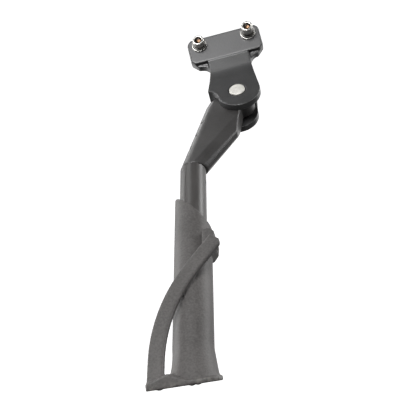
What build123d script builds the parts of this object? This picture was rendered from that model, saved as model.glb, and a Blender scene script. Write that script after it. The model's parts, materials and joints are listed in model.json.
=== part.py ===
from build123d import *
import os
from math import atan2, cos, degrees, hypot, radians, sin, tan

# Bicycle kickstand for a two-bolt rear mounting plate. Millimetres, +Z up.
# Origin: middle of the two bolt holes, on the face that lies against the bicycle.
# X points to the rear of the bicycle, Y points inboard towards the wheel.

# Mounting pad and flange of the cast bracket
hole_spacing = 40.0
bolt_hole_diameter = 6.6
pad_width = 58.6
pad_above_holes = 6.4
pad_below_holes = 15.2
pad_height_over_flange = 3.2
pad_corner_chamfer = 2.8
flange_thickness = 7.0
flange_overhang = 0.5
shoulder_below_holes = 17.6
shoulder_corner = 5.5
shoulder_fillet = 7.5

# Neck and clevis
splay = 24.0
pivot_outboard = 6.4
pivot_below_holes = 55.6
clevis_width = 26.0
ear_thickness = 5.5
ear_radius = 16.8
ear_centre_x = 1.0
ear_centre_y = -1.0
inner_ear_radius = 15.8
inner_ear_centre_x = -3.2
inner_ear_centre_y = -4.3
neck_front = -15.8
neck_rear = 16.8
tab_reach = 22.3
tab_corner_y = 7.0
bridge_thickness = 6.5
slot_roof_height = 17.3
slot_roof_corner = 12.0
neck_bend_z = -25.0
neck_bend_radius = 30.0
neck_face_step = 0.4
stop_wall_foot_y = 3.5

# Pivot
rivet_diameter = 8.0
rivet_head_diameter = 12.2
rivet_head_height = 2.0
rivet_head_proud = 0.8
rivet_head_recess_gap = 0.6
rivet_tail_diameter = 11.5
rivet_tail_height = 2.2
rivet_washer_diameter = 16.0
rivet_washer_thickness = 1.2
pivot_running_clearance = 0.04
bush_diameter = 15.0
cam_width = 5.6
cam_radius = 7.0
cam_flat_depth = 0.8
fold_angle = 100.0
thrust_washer_diameter = 19.0
thrust_washer_thickness = 0.8
thrust_washer_gap = 0.2
swing_clearance = 0.3

# Cast arm; distances along the arm start at the pivot, and rear is positive across it
hub_radius = 11.4
swing_reach = 16.2
arm_elbow_x = -46.1
arm_elbow_y = -60.0
shoulder_distance = 8.0
shoulder_front = 20.6
shoulder_rear = 8.0
shoulder_cut_reach = 3.4
shoulder_cut_lean = 18.6
root_distance = 18.5
root_front = 20.0
root_rear = 16.2
root_ridge = 10.0
arm_bevel = 3.4
front_bevel_face = 5.0
front_bevel_side = 3.0
arm_step_at_tube = 0.25
elbow_swell_rear = 1.6
arm_corner_cut = 0.9
plunger_diameter = 6.0
plunger_length = 13.0
plunger_clearance = 0.1
spring_length = 20.0
spring_turns = 6
spring_wire = 1.0
first_notch_distance = 34.5
notch_spacing = 13.9
notch_count = 3
notch_width = 2.0
notch_length = 4.8
notch_depth = 1.5

# Leg tube
lean = 7.9
tube_diameter = 19.0
tube_wall = 2.0
tube_top_drop = 1.5
tube_length = 148.0
spigot_length = 26.0
spigot_fit = 0.02
tube_pin_diameter = 4.0
tube_pin_drop = 14.0
plug_depth = 9.0
plug_rim = 1.6

# Moulded foot
sleeve_radius = 12.85
sleeve_bore_clearance = 0.25
sleeve_top_drop = 44.2
scarf_angle = 47.0
sleeve_bore_end = 154.0
sole_drop = 173.2
sole_tilt_out = 28.5
sole_tilt_toe = 2.7
flare_start = 150.0
flare_waist_drop = 161.0
flare_waist_swell = 0.8
flare_waist_shift = 0.8
flare_front = 15.0
flare_rear = 16.5
flare_out = 17.2
flare_in = 13.8
flare_foot_height = 1.2
heel_thickness = 3.0
toe_thickness = 4.2
ramp_height = 8.0
ramp_top_reach = 11.0
ramp_foot_reach = 23.0
toe_reach = 25.2
heel_reach = 17.3
base_out = 19.5
base_in = 15.0
nub_radius = 1.3
nub_height = 0.6
nub_places = ((-17.2, -13.5), (1.7, -13.5), (1.7, 8.0))

# Bow that crosses the sleeve and lands on the toe
bow_width = 10.0
bow_thickness = 4.6
bow_standoff = 0.5
bow_foot_u = -18.6
bow_straight_drop = 165.0
bow_radius = 108.0
bow_sweep_angle = 36.6
bow_head_length = 26.0
bow_reach = 20.6
bow_edge_radius = 1.4

# Lug with the length lock
lug_top_drop = 68.5
lug_bottom_drop = 83.0
lug_reach = 16.8
lug_half_depth = 6.5
lug_top_slope = 3.0
lug_taper = 0.6
lock_drop = 75.0
lock_screw_diameter = 4.0
lock_hex_key = 2.0
lock_screw_sink = 0.6
lock_nut_width = 7.0
lock_nut_thickness = 2.2
lock_nut_seat = 12.3
lock_clearance = 0.15
lock_tip_gap = 0.3

# Mounting bolts and washers
bolt_diameter = 6.0
bolt_shank_diameter = 5.4
bolt_reach = 8.5
bolt_head_diameter = 9.0
bolt_head_height = 6.0
hex_key = 5.0
hex_depth = 3.2
flat_washer_diameter = 12.0
flat_washer_thickness = 1.5
spring_washer_diameter = 11.0
spring_washer_thickness = 1.6
washer_bore = 6.3
rear_bolt_standoff = 2.0

# Derived frames: plate (x rear, y up, z outboard), clevis (same, tilted by the splay)
# and leg (x rear, y up along the tube, z outboard, origin at the elbow).
PLATE = Plane(origin=(0, 0, 0), x_dir=(1, 0, 0), z_dir=(0, -1, 0)).location
OUTBOARD = (0, -cos(radians(splay)), sin(radians(splay)))
CLEVIS = Plane(origin=(0, -pivot_outboard, -pivot_below_holes), x_dir=(1, 0, 0), z_dir=OUTBOARD).location
ARM = CLEVIS * Location((0, 0, 0), (0, 0, degrees(atan2(arm_elbow_y, arm_elbow_x))))
LEG = CLEVIS * Location((arm_elbow_x, arm_elbow_y, 0), (0, 0, -lean))
# within the leg frame: heights measured down the leg, and the sole (x to the heel, y inboard)
DOWN_LEG = Plane(origin=(0, 0, 0), x_dir=(1, 0, 0), z_dir=(0, -1, 0)).location
SOLE_NORMAL = Vector(-sin(radians(sole_tilt_toe)) * cos(radians(sole_tilt_out)),
                     cos(radians(sole_tilt_toe)) * cos(radians(sole_tilt_out)), sin(radians(sole_tilt_out)))
HEEL = Vector(cos(radians(sole_tilt_toe)), sin(radians(sole_tilt_toe)), 0)
SOLE = Plane(origin=(0, -sole_drop, 0), x_dir=HEEL, z_dir=SOLE_NORMAL).location

half_clevis = clevis_width / 2
half_gap = half_clevis - ear_thickness
hub_half_width = half_gap - swing_clearance
tube_radius = tube_diameter / 2
tube_bore_radius = tube_radius - tube_wall
sleeve_bore_radius = tube_radius + sleeve_bore_clearance
pad_face = flange_thickness + pad_height_over_flange
bow_inner_face = sleeve_radius + bow_standoff
hub_face = half_gap - thrust_washer_gap - thrust_washer_thickness
bush_inner_end = cam_width / 2 + 0.3
plunger_start = cam_radius + 0.05
elbow_radius = (tube_radius - arm_step_at_tube) / cos(radians(11.25))
front_taper = (root_front - elbow_radius) / (hypot(arm_elbow_x, arm_elbow_y) - root_distance)


def cylinder(radius, bottom, top, x=0.0, y=0.0):
    """Cylinder along the local z axis between two heights."""
    return Pos(x, y, (bottom + top) / 2) * Cylinder(radius, top - bottom)


def ring(outer_radius, inner_radius, bottom, top):
    """Washer or bush along the local z axis."""
    return cylinder(outer_radius, bottom, top) - cylinder(inner_radius, bottom - 1, top + 1)


def prism(points, bottom, top):
    """Straight-sided polygon prism along the local z axis."""
    face = make_face(Polyline(*points, close=True))
    return Pos(0, 0, bottom) * extrude(face, top - bottom)


def rounded_prism(points, radii, bottom, top):
    """Polygon prism whose corners are rounded by one radius each."""
    path = FilletPolyline(*points, radius=radii, close=True)
    return Pos(0, 0, bottom) * extrude(make_face(path), top - bottom)


def pad():
    """Raised rectangular land that the bolt washers sit on, in the plate frame."""
    half = pad_width / 2
    cut = pad_corner_chamfer
    points = [
        (-half + cut, pad_above_holes), (half - cut, pad_above_holes),
        (half, pad_above_holes - cut), (half, -pad_below_holes + cut),
        (half - cut, -pad_below_holes), (-half + cut, -pad_below_holes),
        (-half, -pad_below_holes + cut), (-half, pad_above_holes - cut),
    ]
    land = rounded_prism(points, 1.6, flange_thickness - 0.5, pad_face)
    return chamfer(land.faces().sort_by(Axis.Z)[-1].edges(), 0.6)


def flange():
    """Plate against the bicycle, with shoulders that run into the neck."""
    half = pad_width / 2 + flange_overhang
    top = pad_above_holes + flange_overhang
    cut = pad_corner_chamfer
    low = -shoulder_below_holes
    stub = low - 8.0
    points = [
        (-half + cut, top), (half - cut, top), (half, top - cut), (half, low + shoulder_corner),
        (half - shoulder_corner, low), (neck_rear, low), (neck_rear, stub),
        (neck_front, stub), (neck_front, low), (-half + shoulder_corner, low),
        (-half, low + shoulder_corner), (-half, top - cut),
    ]
    radii = [1.6, 1.6, 1.6, 3.0, 3.0, shoulder_fillet, 0.5, 0.5, shoulder_fillet, 3.0, 3.0, 1.6]
    return rounded_prism(points, radii, 0.0, flange_thickness)


def ear_outline(radius, centre_x, centre_y, tab):
    """Clevis ear seen from outboard: a disc that runs up into the neck."""
    top = 70.0
    rear = (centre_x + radius, centre_y + 1.0)
    bottom = (centre_x, centre_y - radius)
    front = (centre_x - radius * cos(radians(12)), centre_y - radius * sin(radians(12)))
    shoulder = (-tab_reach, tab_corner_y) if tab else (neck_front - 3.0, tab_corner_y)
    edge = [
        Line((neck_rear, top), (neck_rear, 26.0)),
        Line((neck_rear, 26.0), rear),
        ThreePointArc(rear, bottom, front),
        Line(front, shoulder) if not tab else ThreePointArc(front, (front[0] - 1.6, 2.4), shoulder),
        Line(shoulder, (neck_front - 0.8, 27.0)),
        Line((neck_front - 0.8, 27.0), (neck_front, top)),
        Line((neck_front, top), (neck_rear, top)),
    ]
    return make_face(edge)


def mount_bracket():
    """One aluminium casting: pad, flange, neck, two ears and the bridge between them."""
    depth = half_clevis * cos(radians(splay))
    inboard_y = -pivot_outboard + depth
    inboard_z = -pivot_below_holes - half_clevis * sin(radians(splay))
    bridge_top = slot_roof_height + bridge_thickness
    top_y = inboard_y + bridge_top * sin(radians(splay))
    top_z = inboard_z + bridge_top * cos(radians(splay))
    outer_y = -pivot_outboard - depth
    outer_z = -pivot_below_holes + half_clevis * sin(radians(splay))
    # side profile, drawn with x inboard and y up, and extruded across the bracket; it runs
    # past the ears at the bottom, where the ear outlines trim it
    run_y = 40.0 * sin(radians(splay))
    run_z = 40.0 * cos(radians(splay))
    neck_top = -pad_below_holes / 2
    # the outboard face leaves the pad just below its level and bends into the plane of the ear
    neck_face = pad_face - neck_face_step
    bend_z = outer_z + (-outer_y - neck_face) / tan(radians(splay))
    side = [
        (-neck_face, neck_top), (-neck_face, bend_z),
        (outer_y, outer_z), (outer_y - run_y, outer_z - run_z), (inboard_y - run_y, inboard_z - run_z),
        (top_y, top_z), (0.0, neck_bend_z - 3.0), (0.0, neck_top),
    ]
    section = make_face(FilletPolyline(*side, radius=[0, neck_bend_radius, 0, 0, 0, 3.0, 4.0, 0], close=True))
    block = Plane(origin=(0, 0, 0), x_dir=(0, 1, 0), z_dir=(1, 0, 0)).location * extrude(section, 40, both=True)
    outer = extrude(ear_outline(ear_radius, ear_centre_x, ear_centre_y, True), 60)
    inner = extrude(ear_outline(inner_ear_radius, inner_ear_centre_x, inner_ear_centre_y, False), -60)
    lower = block & (CLEVIS * (outer + inner))
    slot = rounded_prism(
        [(-slot_roof_height, slot_roof_height), (60, slot_roof_height), (60, -60), (-60, -60),
         (-60, stop_wall_foot_y), (-slot_roof_height, stop_wall_foot_y)],
        [slot_roof_corner, 1.0, 1.0, 1.0, 1.0, 0.5], -half_gap, half_gap)
    bracket = (PLATE * (flange() + pad())) + lower - CLEVIS * slot
    # holes
    for x in (-hole_spacing / 2, hole_spacing / 2):
        bracket -= PLATE * cylinder(bolt_hole_diameter / 2, -5, pad_face + 5, x)
    bracket -= CLEVIS * cylinder(rivet_diameter / 2, -half_clevis - 5, half_clevis + 5)
    recess_depth = rivet_head_height - rivet_head_proud
    recess_radius = rivet_head_diameter / 2 + rivet_head_recess_gap
    bracket -= CLEVIS * cylinder(recess_radius, half_clevis - recess_depth, half_clevis + 5)
    return bracket


def mount_bolt(x, standoff):
    """Socket-head cap screw in the plate frame, pointing inboard from the washers."""
    seat = pad_face + flat_washer_thickness + spring_washer_thickness + standoff
    head_top = seat + bolt_head_height
    head = cylinder(bolt_head_diameter / 2, seat, head_top)
    head = chamfer(head.faces().sort_by(Axis.Z)[-1].edges(), 0.8)
    head -= Pos(0, 0, head_top - hex_depth) * extrude(RegularPolygon(hex_key / 2, 6, major_radius=False), 10)
    shank = cylinder(bolt_shank_diameter / 2, -0.5, seat + 0.5)
    thread = cylinder(bolt_diameter / 2, -bolt_reach, 0.0)
    thread = chamfer(thread.faces().sort_by(Axis.Z)[0].edges(), 0.7)
    return PLATE * Pos(x, 0, 0) * (head + shank + thread)


def flat_washer(x):
    """Plain washer on the pad."""
    washer = ring(flat_washer_diameter / 2, washer_bore / 2, pad_face, pad_face + flat_washer_thickness)
    return PLATE * Pos(x, 0, 0) * washer


def spring_washer(x):
    """Split washer between the plain washer and the screw head."""
    bottom = pad_face + flat_washer_thickness
    washer = ring(spring_washer_diameter / 2, washer_bore / 2, bottom, bottom + spring_washer_thickness)
    split = Pos(0, -spring_washer_diameter / 2, bottom) * Rot(0, 25, 0) * Box(0.7, 6, 8)
    return PLATE * Pos(x, 0, 0) * (washer - split)


def pivot_rivet():
    """Shouldered pin with a flat head outboard and a formed tail inboard."""
    head_top = half_clevis + rivet_head_proud
    head = cylinder(rivet_head_diameter / 2, head_top - rivet_head_height, head_top)
    head = chamfer(head.faces().sort_by(Axis.Z)[-1].edges(), 0.4)
    tail_top = -half_clevis - rivet_washer_thickness
    tail = cylinder(rivet_tail_diameter / 2, tail_top - rivet_tail_height, tail_top)
    tail = chamfer(tail.faces().sort_by(Axis.Z)[0].edges(), 0.9)
    return CLEVIS * (head + cylinder(rivet_diameter / 2, tail_top - 0.5, head_top - 0.5) + tail)


def rivet_washer():
    """Washer under the formed tail of the pin."""
    bottom = -half_clevis - rivet_washer_thickness
    return CLEVIS * ring(rivet_washer_diameter / 2, rivet_diameter / 2, bottom, -half_clevis)


def detent_cam():
    """Ring pressed on the pin, with one flat for the leg down and one for the leg folded."""
    cam = ring(cam_radius, rivet_diameter / 2, -cam_width / 2, cam_width / 2)
    for turn in (0.0, fold_angle):
        cam -= Rot(0, 0, turn) * Pos(cam_radius - cam_flat_depth + 5, 0, 0) * Box(10, 30, cam_width + 2)
    return ARM * cam


def pivot_bush(side):
    """Plain bush pressed in the hub; side is 1 outboard and -1 inboard."""
    bush = ring(bush_diameter / 2, rivet_diameter / 2 + pivot_running_clearance, bush_inner_end, hub_face)
    return CLEVIS * (bush if side > 0 else mirror(bush, Plane.XY))


def thrust_washer(side):
    """Nylon washer in the recess of the hub face, against one ear."""
    washer = ring(thrust_washer_diameter / 2, rivet_diameter / 2 + 0.3, hub_face, half_gap - thrust_washer_gap)
    return CLEVIS * (washer if side > 0 else mirror(washer, Plane.XY))


def cut_corners(points, cut):
    """Polygon with each corner replaced by a short side."""
    out = []
    count = len(points)
    for index, (x, y) in enumerate(points):
        for other in (points[index - 1], points[(index + 1) % count]):
            share = cut / hypot(other[0] - x, other[1] - y)
            out.append((x + (other[0] - x) * share, y + (other[1] - y) * share))
    return out


def arm_section(front, rear, ridge):
    """Eight-sided section with cut corners: x across the arm to the rear, y outboard."""
    t = hub_half_width
    points = [
        (-front, arm_bevel - t), (-front, t - front_bevel_side), (front_bevel_face - front, t), (ridge, t),
        (rear, t - 1.4 * arm_bevel), (rear, arm_bevel - t), (rear - arm_bevel, -t), (arm_bevel - front, -t),
    ]
    return make_face(Polyline(*cut_corners(points, arm_corner_cut), close=True))


def elbow_section():
    """Near-round section where the arm meets the end of the tube."""
    points = []
    for corner in range(8):
        for half in (11.25, -11.25):
            angle = radians(202.5 - 45.0 * corner + half)
            x = elbow_radius * cos(angle)
            points.append((x + elbow_swell_rear * max(0.0, cos(angle)), elbow_radius * sin(angle)))
    return make_face(Polyline(*points, close=True))


def leg_arm():
    """Cast arm: hub on the pivot, beveled body and spigot for the tube."""
    across_arm = Plane(origin=(0, 0, 0), x_dir=(0, 1, 0), z_dir=(1, 0, 0)).location
    down_leg = Plane(origin=(0, -tube_top_drop, 0), x_dir=(1, 0, 0), z_dir=(0, -1, 0)).location
    shoulder = ARM * Pos(shoulder_distance, 0, 0) * across_arm * arm_section(
        shoulder_front, shoulder_rear, shoulder_rear - arm_bevel)
    root = ARM * Pos(root_distance, 0, 0) * across_arm * arm_section(root_front, root_rear, root_ridge)
    elbow = LEG * down_leg * elbow_section()
    body = loft([shoulder, root], ruled=True) + loft([root, elbow], ruled=True)
    # nothing of the shoulder stands above the stop wall of the bracket
    stop = Box(60, 40, 40)
    body -= CLEVIS * Pos(-30 - swing_reach, 20 + stop_wall_foot_y - swing_clearance, 0) * stop
    # the rear of the shoulder is cut away, which leaves a pocket between the ears behind the arm
    pocket = Rot(0, 0, -shoulder_cut_lean) * Pos(shoulder_cut_reach + 30, 0, 0) * Box(60, 120, 40)
    body -= CLEVIS * pocket
    hub = cylinder(hub_radius, -hub_half_width, hub_half_width)
    hub = chamfer(hub.edges().filter_by(GeomType.CIRCLE), 0.8)
    spigot = LEG * down_leg * cylinder(tube_bore_radius - spigot_fit, -3.0, spigot_length)
    arm = body + CLEVIS * hub + spigot
    # grip notches along the front bevel
    for number in range(notch_count):
        distance = first_notch_distance + number * notch_spacing
        rim = root_front - (distance - root_distance) * front_taper
        tilt = degrees(atan2(front_bevel_side, front_bevel_face))
        cutter = Rot(tilt, 0, 0) * Box(notch_width, notch_length, 2 * notch_depth)
        arm -= ARM * Pos(distance, -rim + front_bevel_face / 2, hub_half_width - front_bevel_side / 2) * cutter
    # bore for the bushes and cam, recesses for the thrust washers, bore for the plunger
    arm -= CLEVIS * cylinder(bush_diameter / 2, -20, 20)
    recess_radius = thrust_washer_diameter / 2 + 0.3
    arm -= CLEVIS * cylinder(recess_radius, hub_face, 20)
    arm -= CLEVIS * cylinder(recess_radius, -20, -hub_face)
    bore_end = plunger_start + plunger_length + spring_length
    arm -= ARM * Rot(0, 90, 0) * cylinder(plunger_diameter / 2 + plunger_clearance, 0, bore_end)
    arm -= LEG * Pos(0, -tube_top_drop - tube_pin_drop, 0) * Rot(0, 90, 0) * cylinder(tube_pin_diameter / 2, -20, 20)
    return arm


def detent_plunger():
    """Plunger that the spring holds against the cam."""
    plunger = cylinder(plunger_diameter / 2, plunger_start, plunger_start + plunger_length)
    return ARM * Rot(0, 90, 0) * chamfer(plunger.edges().filter_by(GeomType.CIRCLE), 0.6)


def detent_spring():
    """Compression spring behind the plunger."""
    start = plunger_start + plunger_length + spring_wire / 2
    height = spring_length - spring_wire
    coil_radius = plunger_diameter / 2 - spring_wire / 2 - 0.1
    helix = Helix(pitch=height / spring_turns, height=height, radius=coil_radius)
    section = Plane(origin=helix @ 0, z_dir=helix % 0) * Circle(spring_wire / 2)
    return ARM * Rot(0, 90, 0) * Pos(0, 0, start) * sweep(section, path=helix)


def leg_tube():
    """Drawn tube between the arm and the foot."""
    tube = ring(tube_radius, tube_bore_radius, tube_top_drop, tube_top_drop + tube_length)
    tube = DOWN_LEG * chamfer(tube.edges().filter_by(GeomType.CIRCLE).sort_by(SortBy.RADIUS)[-2:], 0.5)
    pin_hole = Rot(0, 90, 0) * cylinder(tube_pin_diameter / 2, -20, 20)
    return LEG * (tube - Pos(0, -tube_top_drop - tube_pin_drop, 0) * pin_hole)


def tube_pin():
    """Slotted spring pin through the tube and the spigot."""
    pin = ring(tube_pin_diameter / 2, tube_pin_diameter / 2 - 0.8, 0.3 - tube_radius, tube_radius - 0.3)
    pin -= Pos(tube_pin_diameter / 2, 0, 0) * Box(2.4, 0.8, 2 * tube_diameter)
    return LEG * Pos(0, -tube_top_drop - tube_pin_drop, 0) * Rot(0, 90, 0) * pin


def tube_plug():
    """Plastic bung in the lower end of the tube."""
    end = tube_top_drop + tube_length
    plug = cylinder(tube_bore_radius, end - plug_depth, end + 0.5) + cylinder(tube_radius - 0.4, end, end + plug_rim)
    plug -= cylinder(tube_bore_radius - 1.6, end - plug_depth - 1, end - 1.5)
    return LEG * DOWN_LEG * plug


def base_plate():
    """Sole plate with the ramped toe, in the sole frame: x to the heel, y inboard, z up."""
    bow_front = bow_foot_u - bow_width / 2
    points = [
        (heel_reach - 0.5, base_in - 2.0), (heel_reach, 4.0 - base_out), (bow_front, -base_out - 2.0),
        (-toe_reach, 6.0 - base_out), (5.0 - flare_front, base_in),
    ]
    outline = rounded_prism(points, [7.0, 7.0, 3.0, 3.0, 7.0], 0.0, 2 * ramp_height)
    # side view of the plate: x to the heel, y up
    profile = [
        (heel_reach + 5.0, 0.0), (heel_reach + 5.0, heel_thickness), (0.0, heel_thickness),
        (-ramp_top_reach, ramp_height), (-ramp_foot_reach, toe_thickness),
        (-toe_reach - 5.0, toe_thickness - 1.5), (-toe_reach - 5.0, 0.0),
    ]
    return outline & Rot(90, 0, 0) * prism(profile, -60.0, 60.0)


def bow():
    """Flat strap from the lug, across the sleeve, down to the toe."""
    arc_centre_u = bow_foot_u + bow_radius
    turn = radians(bow_sweep_angle)
    start = (bow_foot_u, -sole_drop - 12.0)
    tangent = (bow_foot_u, -bow_straight_drop)
    middle = (arc_centre_u - bow_radius * cos(turn / 2), -bow_straight_drop + bow_radius * sin(turn / 2))
    turned = (arc_centre_u - bow_radius * cos(turn), -bow_straight_drop + bow_radius * sin(turn))
    head = (turned[0] + bow_head_length * sin(turn), turned[1] + bow_head_length * cos(turn))
    path = Wire([Edge.make_line(start, tangent), Edge.make_three_point_arc(tangent, middle, turned),
                 Edge.make_line(turned, head)])
    section = Plane(origin=(*start, 0), x_dir=(1, 0, 0), z_dir=(0, 1, 0)) * RectangleRounded(
        bow_width, bow_thickness, bow_edge_radius)
    strap = sweep(section, path=path)
    # the head ends in a face that stands upright behind the sleeve
    strap -= Pos(bow_reach + 20.0, -sole_drop / 2, 0) * Box(40.0, sole_drop, 4 * bow_thickness)
    return Pos(0, 0, bow_inner_face + bow_thickness / 2) * strap


def lug():
    """Wedge on the rear of the sleeve that carries the bow and the length lock."""
    root = sleeve_radius - 4.0
    points = [
        (root, -lug_top_drop), (lug_reach - lug_top_slope, -lug_top_drop),
        (lug_reach, -lug_top_drop - lug_top_slope), (lug_reach - lug_taper, -lock_drop - 3.0),
        (sleeve_radius + 0.2, -lug_bottom_drop), (root, -lug_bottom_drop),
    ]
    return rounded_prism(points, [0.5, 1.5, 1.5, 1.5, 0.5, 0.5], -lug_half_depth, bow_inner_face + 0.6)


def flare():
    """Sleeve end that swells into the sole plate, further at the toe than at the heel."""
    throat = DOWN_LEG * Pos(0, 0, flare_start) * Circle(sleeve_radius)
    waist = DOWN_LEG * Pos(flare_waist_shift, 0, flare_waist_drop) * Circle(sleeve_radius + flare_waist_swell)
    floor = SOLE * Pos((flare_rear - flare_front) / 2, (flare_in - flare_out) / 2, flare_foot_height) * Ellipse(
        (flare_rear + flare_front) / 2, (flare_in + flare_out) / 2)
    return loft([throat, waist, floor])


def lock_cuts():
    """Screw hole and the slot that the square nut drops into."""
    screw_hole = Rot(0, 90, 0) * cylinder(lock_screw_diameter / 2 + lock_clearance, 0, 40)
    width = lock_nut_width + 2 * lock_clearance
    thickness = lock_nut_thickness + 2 * lock_clearance
    slot = Pos(lock_nut_seat + lock_nut_thickness / 2, 0, width / 2 - 15) * Box(thickness, width, 30)
    return Pos(0, -lock_drop, 0) * (screw_hole + slot)


def foot():
    """Moulded foot in one piece: sleeve, flared base, bow and lug."""
    sleeve = DOWN_LEG * cylinder(sleeve_radius, 10.0, flare_start)
    body = sleeve + flare() + SOLE * base_plate() + bow() + lug()
    # trim what lies below the sole, and the oblique top of the sleeve
    body -= SOLE * Pos(0, 0, -50) * Box(200, 200, 100)
    scarf = Pos(0, -sleeve_top_drop, 0) * Rot(0, 0, -scarf_angle) * Pos(0, 50, 0) * Box(200, 100, 200)
    body -= scarf & Pos(0, -20, 0) * Box(60, 100, 2 * sleeve_radius + 0.5)
    body -= DOWN_LEG * cylinder(sleeve_bore_radius, 0.0, sleeve_bore_end)
    body -= lock_cuts()
    for x, y in nub_places:
        nub = Pos(x, y, 0) * Sphere(nub_radius) & Pos(x, y, 5 - nub_height) * Box(10, 10, 10)
        body += SOLE * nub
    return LEG * body


def lock_screw():
    """Hexagon socket set screw that clamps the sleeve to the tube."""
    outer_end = lug_reach - lug_taper - lock_screw_sink
    screw = cylinder(lock_screw_diameter / 2, tube_radius + lock_tip_gap, outer_end)
    screw = chamfer(screw.edges().filter_by(GeomType.CIRCLE), 0.4)
    screw -= Pos(0, 0, outer_end - 2.0) * extrude(RegularPolygon(lock_hex_key / 2, 6, major_radius=False), 5)
    return LEG * Pos(0, -lock_drop, 0) * Rot(0, 90, 0) * screw


def lock_nut():
    """Square nut held in the slot of the lug."""
    nut = Box(lock_nut_width, lock_nut_width, lock_nut_thickness)
    nut -= Cylinder(lock_screw_diameter / 2, 10)
    centre = lock_nut_seat + lock_nut_thickness / 2
    return LEG * Pos(0, -lock_drop, 0) * Rot(0, 90, 0) * Pos(0, 0, centre) * nut


NODES = {
    "mount_bracket": mount_bracket(),
    "pivot_rivet": pivot_rivet(),
    "rivet_washer": rivet_washer(),
    "detent_cam": detent_cam(),
    "outer_pivot_bush": pivot_bush(1),
    "inner_pivot_bush": pivot_bush(-1),
    "outer_thrust_washer": thrust_washer(1),
    "inner_thrust_washer": thrust_washer(-1),
    "leg_arm": leg_arm(),
    "detent_plunger": detent_plunger(),
    "detent_spring": detent_spring(),
    "leg_tube": leg_tube(),
    "tube_pin": tube_pin(),
    "tube_plug": tube_plug(),
    "foot": foot(),
    "lock_screw": lock_screw(),
    "lock_nut": lock_nut(),
}
for end, x, standoff in (("front", -hole_spacing / 2, 0.0), ("rear", hole_spacing / 2, rear_bolt_standoff)):
    NODES[end + "_mount_bolt"] = mount_bolt(x, standoff)
    NODES[end + "_flat_washer"] = flat_washer(x)
    NODES[end + "_spring_washer"] = spring_washer(x)

os.makedirs("parts", exist_ok=True)
for name, shape in NODES.items():
    export_step(shape, f"parts/{name}.step")
    print(name, len(shape.solids()), round(shape.volume, 1), shape.is_valid)
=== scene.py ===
import json
from math import ceil, cos, pi, radians, sin, sqrt, tau

import bmesh
import bpy
from mathutils import Matrix, Vector


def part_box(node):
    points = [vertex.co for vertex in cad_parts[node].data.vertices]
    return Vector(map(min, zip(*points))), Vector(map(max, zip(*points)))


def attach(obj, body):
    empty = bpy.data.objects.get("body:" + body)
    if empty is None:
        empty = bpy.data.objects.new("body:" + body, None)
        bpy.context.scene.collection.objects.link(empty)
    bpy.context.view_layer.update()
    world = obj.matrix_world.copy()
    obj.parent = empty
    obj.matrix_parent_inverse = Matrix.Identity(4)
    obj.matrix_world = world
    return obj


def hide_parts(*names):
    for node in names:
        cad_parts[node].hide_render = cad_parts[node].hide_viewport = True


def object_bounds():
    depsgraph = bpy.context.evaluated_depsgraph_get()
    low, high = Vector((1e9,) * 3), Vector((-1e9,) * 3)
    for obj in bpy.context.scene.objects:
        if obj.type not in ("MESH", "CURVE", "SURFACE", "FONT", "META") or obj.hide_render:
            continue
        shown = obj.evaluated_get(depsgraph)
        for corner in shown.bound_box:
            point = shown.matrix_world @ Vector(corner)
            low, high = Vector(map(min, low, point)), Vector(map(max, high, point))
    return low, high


bl_info = {
    "name": "Bicycle Kickstand",
    "version": (1, 0, 0),
    "blender": (4, 5, 0),
    "location": "3D View > Sidebar > Kickstand",
    "description": "Finishes a rear-mount bicycle kickstand around its measured frame",
    "category": "Add Mesh",
}

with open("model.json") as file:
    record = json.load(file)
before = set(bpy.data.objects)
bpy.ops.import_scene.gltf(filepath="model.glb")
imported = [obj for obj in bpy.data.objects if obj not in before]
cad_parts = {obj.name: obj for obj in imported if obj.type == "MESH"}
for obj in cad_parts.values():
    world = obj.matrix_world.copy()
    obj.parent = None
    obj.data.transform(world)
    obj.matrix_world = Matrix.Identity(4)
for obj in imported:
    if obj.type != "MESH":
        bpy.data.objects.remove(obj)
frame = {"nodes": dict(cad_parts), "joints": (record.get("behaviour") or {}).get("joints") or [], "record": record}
CAD_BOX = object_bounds()
RECORD = frame["record"]
MM = 0.001

# Axes of the stand, read from its two joints
FOLD = next(j for j in frame["joints"] if j["name"] == "leg_fold")
SLIDE = next(j for j in frame["joints"] if j["name"] == "foot_extension")
PIVOT = Vector(FOLD["pos_m"])
OUTBOARD = Vector(FOLD["axis"]).normalized()
DOWN_LEG = Vector(SLIDE["axis"]).normalized()
LEG_REAR = DOWN_LEG.cross(OUTBOARD).normalized()
if LEG_REAR.x < 0:
    LEG_REAR = -LEG_REAR


def node_middle(name):
    """Middle of a frame piece's box."""
    low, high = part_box(name)
    return (low + high) / 2


def node_size(name):
    """Size of a frame piece's box."""
    low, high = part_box(name)
    return high - low


def reach(name, direction, origin):
    """Nearest and furthest place of a frame piece along a direction from an origin."""
    places = [(v.co - origin).dot(direction) for v in frame["nodes"][name].data.vertices]
    return min(places), max(places)


# ---------------------------------------------------------------- shader maths

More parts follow.
